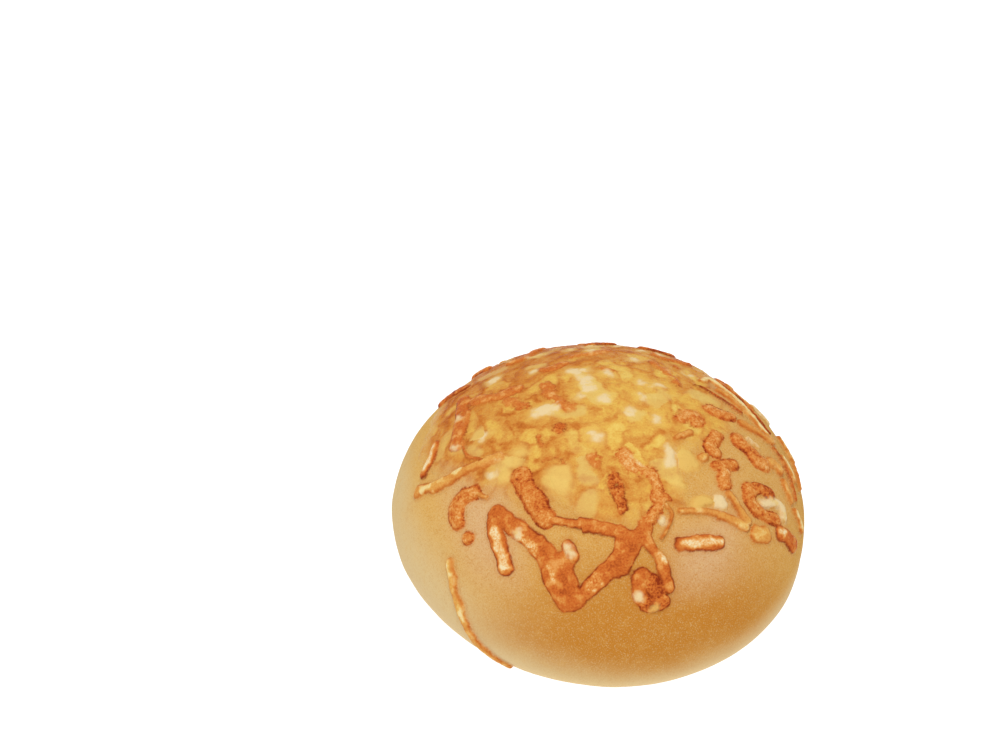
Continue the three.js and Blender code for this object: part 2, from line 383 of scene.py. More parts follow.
def loaf_tree():
    tree = bpy.data.node_groups.new("loaf", "GeometryNodeTree")
    recipe = Recipe(tree)
    subdivisions = recipe.ask("Subdivisions", kind="NodeSocketInt")
    ball = recipe.add("GeometryNodeMeshIcoSphere", {"Radius": 1.0, "Subdivisions": subdivisions})
    toward = recipe.vector("NORMALIZE", recipe.add("GeometryNodeInputPosition"))
    point, _ = on_crust(recipe, toward)
    shaped = recipe.add("GeometryNodeSetPosition", {"Geometry": ball, "Position": point})
    smooth = recipe.add("GeometryNodeSetShadeSmooth", {0: shaped})
    whole = recipe.add("GeometryNodeRealizeInstances", {0: smooth})
    coated = recipe.add("GeometryNodeSetMaterial", {"Geometry": whole, "Material": crust_material})
    recipe.serve({"Geometry": ("NodeSocketGeometry", coated)})
    return tree


loaf = baked("loaf", loaf_tree(), {"Subdivisions": LOAF_SUBDIVISIONS})
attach(loaf, "root")
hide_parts("cheese_roll")


# The grated cheese: shreds strewn over the dough before baking, melted flat and fused to the crust.
# Most are browned with a dark fried rim, some keep a cream core, and a few lumps stay pale.
# On the crown they have run together into a thin golden film that still shows their outlines.
Shred = namedtuple("Shred", "width tone path")

# How a shred is baked, from fried dark through to not browned at all.
FRIED, BROWNED, BLISTERED, PEACHY, YELLOW, WHITE = 0, 0.15, 0.4, 0.65, 0.85, 1


def shreds_of(*rows):
    """Shreds from rows of a width in millimetres, a tone and the places that a path runs through.

    A place is (bearing, drop) in degrees, from the front to the right and down from the crown.
    """
    return [Shred(width, tone, path) for width, tone, *path in rows]


# Shreds laid as they show.
LAID = shreds_of(
    # The broad V, with its filled tip, its top bar and the arms of its right corner
    (5.8, BROWNED, (-54, 47.5), (-45.5, 47.5), (-37.5, 47.5), (-29, 49), (-20, 55)),
    (9, BROWNED, (-23, 50.5), (-16.5, 57), (-11.5, 66.5)),
    (4.8, BROWNED, (-13, 65), (-7.5, 57), (-2.5, 51), (2, 46)),
    (6.6, BROWNED, (-1.5, 51.5), (2, 47), (5.5, 40)),
    (5, BROWNED, (-2, 43.5), (8, 40.5), (14, 35.5)),
    (2.8, BROWNED, (-33, 41.5), (-24, 39.5), (-13, 38.6)),
    (4.4, BROWNED, (-20, 39), (-11.5, 38.5), (-1, 39), (8, 41.5)),
    (3.6, BLISTERED, (6, 42), (13.5, 36), (18.5, 33), (27, 29.5)),
    (3.7, BROWNED, (-20.5, 44.5), (-17, 47), (-13, 50.5)),
    # The pale pods each side of the V
    (5.4, BROWNED, (-52, 48), (-42, 54.5), (-34, 61.5)),
    (4.7, BROWNED, (20.5, 44.2), (30, 46.5), (41, 50.2)),
    # The drop that hangs right of the V
    (3.4, BROWNED, (9.5, 39.5), (13, 45), (15.5, 49), (17, 61)),
    (4.6, BROWNED, (11, 51.5), (8, 53.5), (7.5, 58.5), (9, 62)),
    (4.2, FRIED, (7.5, 60), (12, 63), (17, 60)),
    (5, FRIED, (9.5, 53), (12.5, 57), (14.5, 61)),
    # The hook and its bead, and the runner below them
    (5, BLISTERED, (-63.5, 45), (-65.8, 50.5), (-64, 55.5), (-56.5, 59.5)),
    (3.4, BLISTERED, (-55.5, 60), (-51, 58.5)),
    (3.2, PEACHY, (-54.5, 69), (-48.5, 76), (-39.5, 89.5), (-36, 98), (-26, 112)),
    # The left shoulder
    (5.6, BLISTERED, (-61, 33.5), (-48, 36), (-37.5, 38.5), (-28, 42)),
    (4, PEACHY, (-83.5, 68.5), (-78, 56.5), (-76, 48.5), (-74.5, 42), (-73, 33)),
    (3.2, BROWNED, (-98, 55), (-91, 57), (-85.5, 63)),
    (5, BROWNED, (-119.5, 50.5), (-109.5, 48), (-99, 46.5), (-85.5, 48.5)),
    (4.4, FRIED, (-126, 53), (-124, 60), (-121, 67)),
    (3.6, WHITE, (-124, 44.5), (-131, 42)),
    (4.4, BROWNED, (-113.5, 46), (-114.5, 39), (-118, 33), (-124.5, 29.5)),
    (3.6, BROWNED, (-108, 34), (-110, 30.5), (-105.5, 27), (-105, 23)),
    # The right shoulder
    (2.2, PEACHY, (25.5, 35), (36.5, 38), (43, 42)),
    (3, PEACHY, (41, 41), (46, 45), (50.5, 52)),
    (3.4, PEACHY, (53, 38), (52, 43), (51, 51)),
    (4.8, BROWNED, (60, 60), (63, 65.5), (66, 74)),
    (4.4, BLISTERED, (65, 43.5), (60, 44), (58, 47.5), (60, 53), (65, 61)),
    (4.2, FRIED, (64, 43.5), (67.5, 47.5), (69, 53.5)),
    (4, BLISTERED, (58, 30), (64, 33), (71, 36.5)),
    (4.2, BLISTERED, (64.5, 33), (57, 35), (53, 38)),
    (5, BLISTERED, (87.5, 33), (82.5, 38), (79, 43), (80, 48)),
    (3.8, PEACHY, (80.5, 46), (83, 51), (81, 55)),
    (3.4, PEACHY, (98, 37), (96.5, 43), (94, 53)),
    (4, BLISTERED, (105, 27.5), (100.5, 31), (101, 38)),
    (3.2, PEACHY, (122, 38), (117.5, 40.5), (111, 42), (103.5, 48.5)),
    (3.4, PEACHY, (125, 46), (117, 48), (112, 52)),
    (3.2, WHITE, (119, 57), (116, 61), (112, 64)),
    (3, PEACHY, (105, 60), (99, 65), (98, 71)),
    (3, PEACHY, (91, 54), (88, 60), (84, 63)),
    (3.2, PEACHY, (80, 55.5), (77, 58), (74, 62.5)),
    (3, PEACHY, (74, 63), (73, 69), (72, 74)),
    # The crown
    (4.2, FRIED, (-4, 21), (1.5, 34.5)),
    (3.6, BLISTERED, (-2, 13.5), (10, 19.5), (21, 22.5), (22.5, 27), (16.5, 32)),
    (4.2, BROWNED, (-28, 20.5), (-14, 18)),
    (5, BLISTERED, (83, 16), (93.5, 19), (98.5, 22.5)),
    (5, BLISTERED, (96, 19), (89, 21.5), (81, 23.5)),
    (4.4, BLISTERED, (86, 28.5), (77, 27.5), (68.5, 25.5)),
    (3.8, BLISTERED, (74.5, 25), (68.5, 27.5), (69, 30.5)),
    (3, PEACHY, (64, 27), (54, 25.5)),
    (3, WHITE, (50, 16.5), (36, 22.5)),
    (3.2, FRIED, (-82, 17), (-66, 17.7)),
    (3.8, WHITE, (-96, 24), (-99.5, 19.5), (-107, 15)),
    (3.4, BROWNED, (-129, 26.5), (-120, 21), (-112, 17), (-96, 12.5)),
    (3.4, WHITE, (-149, 24), (-151, 18), (-141.5, 11)),
    # The far side of the crown
    (3.4, BROWNED, (-138, 32), (-145, 29.5), (-154, 30)),
    (3.4, BROWNED, (-158, 32.5), (-169, 32), (-179, 36)),
    (3.6, BROWNED, (-139, 48), (-147, 45.5), (-157, 52)),
    (3, BROWNED, (160, 32), (149, 28.5), (139.5, 26.5), (127, 23)),
    (3, BROWNED, (161, 42), (152, 39.5), (143, 47)),
    (3.6, FRIED, (-170, 44), (-177.5, 49), (-185, 49)),
    (3.6, FRIED, (169, 51), (160, 50.5), (152, 51.5)),
)

# Crumbs, lumps and threads too small to stand out far from the crust.
CRUMBS = shreds_of(
    # By the drop, the V and the hook
    (2.4, WHITE, (6.8, 58), (7.6, 60.6)),
    (2.4, YELLOW, (10.8, 63), (13.2, 64)),
    (2.6, WHITE, (18, 35.6), (19, 38.2)),
    (1.4, PEACHY, (22, 31.5), (23.5, 35.5), (20.5, 39), (16, 43)),
    (2.6, WHITE, (-40, 47.8), (-36, 49)),
    (2, WHITE, (-19, 45.6), (-15.5, 48.6)),
    (1.8, PEACHY, (-57, 45.5), (-65, 47.5)),
    # On the left shoulder
    (2.8, WHITE, (-67.5, 40.7), (-62.5, 39.8)),
    (4, YELLOW, (-64, 37.8), (-58, 37.5)),
    (5, YELLOW, (-68, 34), (-62, 31)),
    (2.4, YELLOW, (-70, 31.8), (-67.5, 28.7)),
    (7, YELLOW, (-87.5, 41), (-90, 35)),
    (1.8, WHITE, (-86, 39.5), (-90, 36)),
    (2.2, WHITE, (-91, 47.6), (-87, 48.5)),
    (2.2, WHITE, (-107, 47.5), (-103, 47.8)),
    (1.6, BROWNED, (-109.5, 45), (-98.5, 44.2), (-90, 45), (-81, 44), (-74, 39.5)),
    # On the right shoulder
    (5, WHITE, (47.5, 36), (46.5, 42.5)),
    (3.8, YELLOW, (34, 35.2), (45, 36.8)),
    (2.8, WHITE, (61, 48.7), (66, 52.5), (68.8, 57), (66, 61.5)),
    (4.6, PEACHY, (51, 51.5), (53, 55.5), (57.5, 58.5)),
    (1.4, WHITE, (90, 38.5), (87.5, 41), (85, 44.5)),
    (1.3, BROWNED, (92, 50.5), (87, 56), (82, 60), (77, 64)),
    (2.2, PEACHY, (99, 62), (95, 66), (90, 67.5), (84, 68)),
    (1.4, BROWNED, (128, 30), (120, 33), (111, 36.5), (104, 41)),
    (3, PEACHY, (129, 33), (130, 41), (122, 42.5), (113, 44.5), (104.5, 46), (98, 49.5), (95, 53)),
    (1.6, BROWNED, (130.5, 44), (122.5, 45.5), (113.5, 47.5), (105, 49), (98.5, 52.5)),
    # On the crown
    (6, YELLOW, (-44, 26), (-28, 32)),
    (3, YELLOW, (31, 26.5), (37.5, 30)),
    (7, YELLOW, (54, 20.5), (45, 26)),
    (2.6, PEACHY, (56, 16.5), (67.5, 18.5), (77, 21)),
    (2.8, WHITE, (82, 8.5), (72, 12)),
    (2.4, WHITE, (130, 3.5), (50, 3.5)),
    (3.6, WHITE, (-53, 11), (-24, 12)),
    (2, BROWNED, (-74.5, 22.5), (-62.5, 24.5)),
    (1.5, BROWNED, (-55, 27.5), (-52, 24.5), (-46.5, 23), (-40, 24)),
    (2.8, WHITE, (-129, 6.5), (-160, 7.5)),
    # On the far side of the crown
    (2.4, WHITE, (147, 11), (124, 9)),
    (1.6, WHITE, (137.5, 14.5), (140, 18), (134, 19)),
    (2.8, WHITE, (-170, 18), (-177.5, 17)),
    (1.4, BROWNED, (-168, 21.5), (-183, 19)),
    (1.8, PEACHY, (142, 26), (132.5, 24.5)),
    (1.6, BROWNED, (148, 36), (142.5, 35)),
    (2, WHITE, (-161.5, 40.5), (-165, 40)),
    (2, WHITE, (-171, 42.5), (-175, 43.5)),
    (2, WHITE, (178, 43), (174, 45)),
    (1.8, WHITE, (167, 41.5), (163.5, 42.5)),
    (1.8, WHITE, (157.5, 41), (154.5, 41.5)),
)

# The middles of shreds that stayed creamy.
CORES = shreds_of(
    # Of the pods, the drop and the V
    (3, WHITE, (-48, 50.5), (-41, 55), (-35, 60.5)),
    (2.4, WHITE, (22, 44.7), (30, 46.5), (39.5, 49.8)),
    (2, WHITE, (15, 44.5), (16.2, 47), (17, 49.5)),
    (3.2, YELLOW, (-8.5, 58), (-4.5, 52.5)),
    (1.6, YELLOW, (-24, 53), (-21, 55), (-18.5, 58)),
    (3.4, YELLOW, (-40.5, 47.8), (-34.5, 49), (-27.5, 51.5)),
    # Of the runner and the left shoulder's shreds
    (1.6, YELLOW, (-54.5, 70), (-50.5, 73.8)),
    (1.4, YELLOW, (-45, 80.5), (-41, 86.5)),
    (2.4, WHITE, (-77.5, 51), (-77, 46.5)),
    (2.2, WHITE, (-81.5, 64.5), (-79, 58.5)),
    (1.7, WHITE, (-97, 55.3), (-91, 57), (-87, 61)),
    # Of the right shoulder's and the crown's shreds
    (2.6, WHITE, (60, 59.5), (62.5, 64)),
    (1.6, WHITE, (73.8, 64), (73, 69), (72.2, 73)),
    (1.5, WHITE, (90.5, 55), (88, 60), (85, 62.5)),
    (1.6, WHITE, (104, 61), (99.2, 65), (98.2, 70)),
    (1.7, WHITE, (129.5, 35), (129.5, 40.5), (122, 42.3), (113, 44.3), (104.5, 46), (98, 49.5)),
    (1.6, WHITE, (11, 16), (20, 20.5)),
)

# The rest is spread evenly round spirals by a seeded rule, out to an edge in front and at the back.
# Edges and headings are in degrees, widths and lengths in millimetres.
ANY_WAY = (0, 360)
ROUND_THE_CROWN = (30, 150)
Spread = namedtuple("Spread", "count offset front back widths lengths headings", defaults=[ANY_WAY])

# Whole shreds on the far side.
SPRINKLING = Spread(120, 0, 46, 76, (3.2, 4.8), (7, 19))
NEAR_SIDE = 115
CLEARANCE = 4.7
CLEARANCE_STEPS = 8

# What has almost melted into the film: browned strands, yellow pools, thin threads and pale lumps.
STRANDS = Spread(170, 0, 47, 66, (1.6, 3.6), (8, 22), ROUND_THE_CROWN)
POOLS = Spread(75, 0.53, 47, 66, (3.5, 8), (7, 15))
THREADS = Spread(190, 0.37, 47, 66, (0.8, 1.5), (8, 24))
LUMPS = Spread(28, 0.71, 44, 44, (1.2, 2.6), (2, 5))

GOLDEN_ANGLE = 137.508
BOWS = (-2.2, 2.2)
NARROWEST = 0.3
WHITE_FROM = 0.84
WHITE_WITHIN = 48
WAIST_MM = WAIST_RADIUS / MM
SEED = 7
SHRED_STEP, USE_STEP, SCRAMBLE = 127.1, 311.7, 43758.5453
HEADING, LENGTH, BOW, WIDTH, TONE = range(1, 6)


def direction(bearing, drop):
    out = math.sin(math.radians(drop))
    turn = math.radians(bearing)
    return Vector((out * math.sin(turn), -out * math.cos(turn), math.cos(math.radians(drop))))


def shred_directions(path, count):
    """Directions along a smooth curve through a path's places, from end to end."""
    stops = [direction(*place) for place in path]
    stops = [2 * stops[0] - stops[1], *stops, 2 * stops[-1] - stops[-2]]
    spans = len(path) - 1
    found = []
    for i in range(count + 1):
        span = min(int(i / count * spans), spans - 1)
        t = i / count * spans - span
        before, start, end, after = stops[span:span + 4]
        found.append((
            start
            + (end - before) * (t / 2)
            + (2 * before - 5 * start + 4 * end - after) * (t * t / 2)
            + (3 * start - before - 3 * end + after) * (t**3 / 2)
        ).normalized())
    return found


def drawn(shred, use):
    """A number from 0 to 1, the same each time for the same shred and the same use."""
    wave = math.sin(SEED + SHRED_STEP * shred + USE_STEP * use) * SCRAMBLE
    return wave - math.floor(wave)


def drawn_from(limits, shred, use):
    low, high = limits
    return low + (high - low) * drawn(shred, use)


def spiral_shred(number, spread):
    """A shred on an even spiral from the crown to the spread's edge, turned its own way."""
    i = number + spread.offset
    bearing = i * GOLDEN_ANGLE
    backward = (1 - math.cos(math.radians(bearing))) / 2
    edge = spread.front + (spread.back - spread.front) * backward
    drop = edge * math.sqrt((i + 0.5) / spread.count)
    heading = math.radians(drawn_from(spread.headings, i, HEADING))
    reach = math.degrees(drawn_from(spread.lengths, i, LENGTH) / 2 / WAIST_MM)
    bow = math.degrees(drawn_from(BOWS, i, BOW) / WAIST_MM)
    narrowing = max(math.sin(math.radians(drop)), NARROWEST)
    turn, fall = reach * math.sin(heading) / narrowing, reach * math.cos(heading)
    bow_turn, bow_fall = bow * math.cos(heading) / narrowing, -bow * math.sin(heading)
    path = (
        (bearing - turn, drop - fall),
        (bearing + bow_turn, drop + bow_fall),
        (bearing + turn, drop + fall),
    )
    share = drawn(i, TONE)
    stays_white = share > WHITE_FROM and drop < WHITE_WITHIN
    tone = WHITE if stays_white else BROWNED + (PEACHY - BROWNED) * share**2
    return Shred(drawn_from(spread.widths, i, WIDTH), tone, path)


def spiral(spread):
    return [spiral_shred(number, spread) for number in range(spread.count)]


def is_near(shred):
    """True for a shred on the side where the shreds are laid one by one."""
    nearest = max(math.cos(math.radians(bearing)) for bearing, _ in shred.path)
    return nearest > math.cos(math.radians(NEAR_SIDE))


def sprinkled_shreds():
    """The sprinkling's shreds that keep their room from all those laid before them."""
    room = math.cos(CLEARANCE / WAIST_MM)
    taken = [toward for shred in LAID for toward in shred_directions(shred.path, CLEARANCE_STEPS)]
    shreds = []
    for shred in spiral(SPRINKLING):
        places = shred_directions(shred.path, CLEARANCE_STEPS)
        if not is_near(shred) and all(here.dot(there) < room for here in places for there in taken):
            taken.extend(places)
            shreds.append(shred)
    return shreds


# The kinds of shred, and the widths in millimetres that wide and broad ones start at.
KINDS = range(8)
WIDE, BROAD, NARROW, CORE, PALE, STRAND, POOL, THREAD = KINDS
KIND_MARGIN = 0.1
WIDE_WIDTH = 6.2
BROAD_WIDTH = 4.7
CREAMY_FROM = 0.55
CORE_SHARE = 0.5
PATH_STEP = 0.35
LENGTH_STEPS = 12
FEWEST_STEPS = 4
ROUNDEST_END = 0.42


def kind_of(shred):
    if shred.tone >= YELLOW:
        return PALE
    if shred.width >= WIDE_WIDTH:
        return WIDE
    return BROAD if shred.width >= BROAD_WIDTH else NARROW


def all_shreds():
    """Every shred with its kind."""
    sprinkled = sprinkled_shreds()
    shreds = [(shred, kind_of(shred)) for shred in [*LAID, *CRUMBS, *sprinkled]]
    shreds += [(shred, CORE) for shred in CORES]
    creamy = [shred for shred in sprinkled if CREAMY_FROM < shred.tone < YELLOW]
    shreds += [(shred._replace(width=shred.width * CORE_SHARE), CORE) for shred in creamy]
    for spread, kind in ((STRANDS, STRAND), (POOLS, POOL), (THREADS, THREAD)):
        shreds += [(shred, kind) for shred in spiral(spread)]
    shreds += [(lump._replace(tone=WHITE), PALE) for lump in spiral(LUMPS) if not is_near(lump)]
    return shreds


def shred_paths(sorted_shreds):
    """The shreds' middle lines as loose points, each with its half width, its tone and its kind."""
    points, half_widths, tones, kinds = [], [], [], []
    for shred, kind in sorted_shreds:
        rough = shred_directions(shred.path, LENGTH_STEPS)
        length = sum(a.angle(b) for a, b in zip(rough, rough[1:])) * WAIST_MM
        count = max(FEWEST_STEPS, round(length / PATH_STEP))
        rounding = min(shred.width / 2 / length, ROUNDEST_END)
        for i, toward in enumerate(shred_directions(shred.path, count)):
            if rounding <= i / count <= 1 - rounding:
                points.append(toward)
                half_widths.append(shred.width / 2 * MM)
                tones.append(shred.tone)
                kinds.append(kind)
    mesh = bpy.data.meshes.new("shred_paths")
    mesh.from_pydata(points, [], [])
    for name, values in (("half_width", half_widths), ("tone", tones), ("kind", kinds)):
        attribute = mesh.attributes.new(name, "FLOAT", "POINT")
        attribute.data.foreach_set("value", [float(value) for value in values])
    return mesh


# Colours of the film and of the shreds, from not browned at all to fried dark.
GOLDEN_CHEESE = colour(215, 154, 71)
TOASTED_CHEESE = colour(203, 126, 52)
FILM_TONES = (
    (0.00, colour(239, 215, 146)),
    (0.25, colour(233, 199, 102)),
    (0.45, colour(225, 178, 82)),
    (0.62, GOLDEN_CHEESE),
    (0.80, TOASTED_CHEESE),
    (1.00, colour(182, 98, 36)),
)
SHRED_TONES = (
    (0.00, colour(238, 216, 170)),
    (0.20, colour(234, 192, 132)),
    (0.40, colour(226, 160, 88)),
    (0.58, colour(213, 132, 60)),
    (0.76, colour(200, 103, 42)),
    (1.00, colour(142, 54, 24)),
)
PALE_CHEESE = colour(232, 206, 156)
YELLOW_CHEESE = colour(232, 196, 108)
BEIGE_CHEESE = colour(216, 178, 108)

# What the sheet keeps for its colours: depths inside each kind of shred in millimetres, and tones.
KEPT_DEPTHS = ("film", "browned", "core", "pale", "strand", "pool", "thread")
KEPT_TONES = ("shred_tone", "core_tone", "pale_tone", "pool_tone")

# The unevenness of the browning, each with its size and its noise's detail and roughness.
UNEVENNESS = {
    "broad": (7 * MM, 2.0),
    "patch": (2.6 * MM, 2.0),
    "marble": (1.8 * MM, 1.0),
    "fine": (1.0 * MM, 2.0, 0.6),
    "speck": (0.5 * MM, 1.0, 0.6),
}

# How patches and fine unevenness move a border, and the depths in millimetres between which it fades.
Border = namedtuple("Border", "patch fine low high")
FILM_BORDER = Border(6, 0, -1, 6)
STRAND_BORDER = Border(0, 0.8, -0.8, 1.2)
POOL_BORDER = Border(1.4, 0, -0.5, 1.3)
THREAD_BORDER = Border(0, 0.5, -0.6, 0.5)
RIM_BORDER = Border(0, 0.8, 0.8, 0.15)
OUTLINE_BORDER = Border(0, 0.7, 1.2, 0.4)
CORE_BORDER = Border(1.2, 0.9, -0.4, 0.8)
LUMP_BORDER = Border(2.4, 1.4, -0.7, 1.0)
LUMP_RIM_BORDER = Border(0, 0.8, -0.5, 0.1)

# Shreds melt away deep in the film, high on the crown.
MELT_DEPTH = (3, 15)
MELT_HEIGHT = (43 * MM, 51 * MM)


def within(recipe, depth, uneven, border):
    """From 0 outside a ragged border to 1 inside it."""
    moved = depth + uneven.patch * border.patch + uneven.fine * border.fine
    return recipe.eased(moved, border.low, border.high)


# The film is yellowest near the crown's middle, and more toasted to the left and at the back.
YELLOW_MIDDLE = (14 * MM, 2 * MM, 57 * MM)
YELLOW_REACH = (38 * MM, 10 * MM)
TOASTED_X, TOASTED_Y = -0.8, 0.6
TOASTED_FROM = (0.1, 0.8)
FAR_FROM = (12 * MM, 42 * MM)
STRAND_GAPS = (-0.16, 0.1, 0.3, 1.0)
THREAD_GAPS = (-0.1, 0.08)
POOL_EDGE_MIDDLE = 0.1
POOL_EDGE_WIDTH = (0.9, 0)
POOL_EDGE_RAGGED = 0.5
POOL_EDGE_GAPS = (-0.08, 0.1)
BEIGE_POOLS = (0.22, 0.4, 0, 0.5)
STRAND_BROWNING = (0.24, 0.15)
FILM_BROWNING = 0.62
FILM_WEIGHTS = {
    "golden": -0.12, "toasted": 0.1, "far": 0.11, "strand": 1.0, "pool": -0.2, "pool_edge": 0.14,
    "thread": 0.11, "patch": 0.32, "fine": 0.2, "speck": 0.22,
}


def film_colour(recipe, place, kept, uneven):
    x, y, _ = recipe.parts(place)
    golden = recipe.eased(recipe.vector("DISTANCE", place, YELLOW_MIDDLE, output="Value"), *YELLOW_REACH)
    strand = within(recipe, kept.strand, uneven, STRAND_BORDER) * recipe.eased(uneven.broad, *STRAND_GAPS)
    pool = within(recipe, kept.pool, uneven, POOL_BORDER)
    from_edge = recipe.math("ABSOLUTE", kept.pool + uneven.fine * POOL_EDGE_RAGGED - POOL_EDGE_MIDDLE)
    pool_edge = recipe.eased(from_edge, *POOL_EDGE_WIDTH) * recipe.eased(uneven.patch, *POOL_EDGE_GAPS)
    thread = within(recipe, kept.thread, uneven, THREAD_BORDER) * recipe.eased(uneven.broad, *THREAD_GAPS)
    level = recipe.weighed(FILM_BROWNING, FILM_WEIGHTS, {
        "golden": golden,
        "toasted": recipe.eased((x * TOASTED_X + y * TOASTED_Y) / WAIST_RADIUS, *TOASTED_FROM),
        "far": recipe.eased(y, *FAR_FROM),
        "strand": strand * recipe.mixed(golden, *STRAND_BROWNING),
        "pool": pool,
        "pool_edge": pool_edge,
        "thread": thread,
        **vars(uneven),
    })
    beige = pool * recipe.eased(kept.pool_tone, *BEIGE_POOLS)
    return recipe.tinted(beige, recipe.ramp(level, FILM_TONES), BEIGE_CHEESE)


# Tones between which a shred counts as fried, blistered or peachy.
FRIED_UP_TO = (0.1, 0.03)
BLISTERED_FROM = (0.24, 0.36)
BLISTERED_UP_TO = (0.56, 0.46)
PEACHY_FROM = (0.5, 0.62)


def bakes(recipe, tone):
    """How far a shred's tone makes it blistered, peachy or speckled."""
    blistered = recipe.eased(tone, *BLISTERED_FROM) * recipe.eased(tone, *BLISTERED_UP_TO)
    peachy = recipe.eased(tone, *PEACHY_FROM)
    speckled = recipe.math("MAXIMUM", blistered, recipe.eased(tone, *FRIED_UP_TO))
    return SimpleNamespace(blistered=blistered, peachy=peachy, speckled=speckled)


# A shred is darkest at its rim, lightest in its core and in patches, the patches partly painted glints.
# Peachy ones are partly golden.
RIM_PATCHES = 0.6
RIM_GAPS = (-0.14, 0.1, 0.5, 1.0)
RIM_MELTED = 0.4
MIDDLE_DEPTH = (0.8, 2.8)
LIGHT_AND_GLINT_MARBLING = 0.4
LIGHT_AND_GLINT_PATCHES = (0.02, 0.16)
LIGHT_AND_GLINT_SHARES = (0.16, 0.06)
CORE_LIGHTNESS = (0.24, 0.54)
CORE_SPECKS = 0.6
GRAIN_FINE, GRAIN_MARBLE = 0.65, 0.5
GOLDEN_SHARE = 0.5
SHRED_BROWNING = 0.8
SHRED_WEIGHTS = {
    "lighter": -0.1, "blistered": -0.12, "peachy": -0.24, "melted": -0.06, "rim": 0.3, "middle": 0.05,
    "light_and_glint": -1.0, "core": -1.0, "grain": 1.0, "patch": -0.4, "broad": 0.3, "speck": 0.4,
}
GOLDEN_BROWNING = 0.56
GOLDEN_WEIGHTS = {"outline": 0.32, "core": -0.36, "light_and_glint": -0.1, "patch": -0.4, "broad": 0.3, "speck": 0.4}


def shred_colour(recipe, kept, uneven, melt, bake):
    rim = within(recipe, kept.browned, uneven, RIM_BORDER) * (1 - melt * RIM_MELTED)
    rim = rim * recipe.eased(uneven.broad + uneven.patch * RIM_PATCHES, *RIM_GAPS)
    core = within(recipe, kept.core, uneven, CORE_BORDER)
    lightness = recipe.eased(kept.core_tone, YELLOW, WHITE, *CORE_LIGHTNESS) - uneven.speck * CORE_SPECKS
    # Light patches, partly the cheese's own and partly painted glints.
    light_and_glint = recipe.eased(uneven.patch + uneven.marble * LIGHT_AND_GLINT_MARBLING, *LIGHT_AND_GLINT_PATCHES)
    level = recipe.weighed(SHRED_BROWNING, SHRED_WEIGHTS, {
        "lighter": recipe.eased(kept.shred_tone, FRIED, BROWNED),
        "blistered": bake.blistered,
        "peachy": bake.peachy,
        "melted": melt,
        "rim": rim,
        "middle": recipe.eased(kept.browned, *MIDDLE_DEPTH),
        "light_and_glint": light_and_glint * recipe.mixed(bake.blistered, *LIGHT_AND_GLINT_SHARES),
        "core": core * lightness,
        "grain": bake.speckled * (uneven.fine * GRAIN_FINE + uneven.marble * GRAIN_MARBLE),
        **vars(uneven),
    })
    golden_level = recipe.weighed(GOLDEN_BROWNING, GOLDEN_WEIGHTS, {
        "outline": within(recipe, kept.browned, uneven, OUTLINE_BORDER),
        "core": core,
        "light_and_glint": light_and_glint,
        **vars(uneven),
    })
    return recipe.tinted(bake.peachy * GOLDEN_SHARE, recipe.ramp(level, SHRED_TONES),
                         recipe.ramp(golden_level, FILM_TONES))


# A shred stains what lies round it with a toasted tint that is partly painted shade. Its border is blurred
# and broken where it has melted.
STAINED_AND_SHADED = (-2.0, 0, 0, 0.2)
SHRED_INSET = 0.1
BLISTER_SWELLING = 0.3
SHRED_RAGGED = (0.6, 1.4)
SHRED_BLUR = (0.3, 0.7)
MELTED_GAPS = (-0.26, -0.1)


def shred_share(recipe, kept, uneven, melt, bake):
    """1 inside a browned shred, 0 outside."""
    depth = kept.browned - SHRED_INSET + bake.blistered * BLISTER_SWELLING
    depth = depth + uneven.fine * recipe.mixed(melt, *SHRED_RAGGED)
    blur = recipe.mixed(melt, *SHRED_BLUR)
    unbroken = recipe.mixed(melt, 1.0, recipe.eased(uneven.patch, *MELTED_GAPS))
    return recipe.eased(depth, blur * -1, blur) * unbroken


# Pale lumps have a yellow halo on the film and a golden rim off it, and the white ones are marbled.
HALO = (-2.2, 0.2, 0, 0.45)
LUMP_RIM_SHARE = 0.6
LUMP_COVER = (0.6, 0.95)
WHITE_TONES = (0.88, 0.97)
CREAM_MARBLING = 0.5
CREAM_PATCHES = (-0.16, 0, 0.5, 1.0)
CHEESE_ROUGHNESS = (-0.2, 0.2, 0.24, 0.42)
CHEESE_RELIEF = 0.3 * MM
CHEESE_SHINE = 0.01
SPECK_RELIEF = 0.5


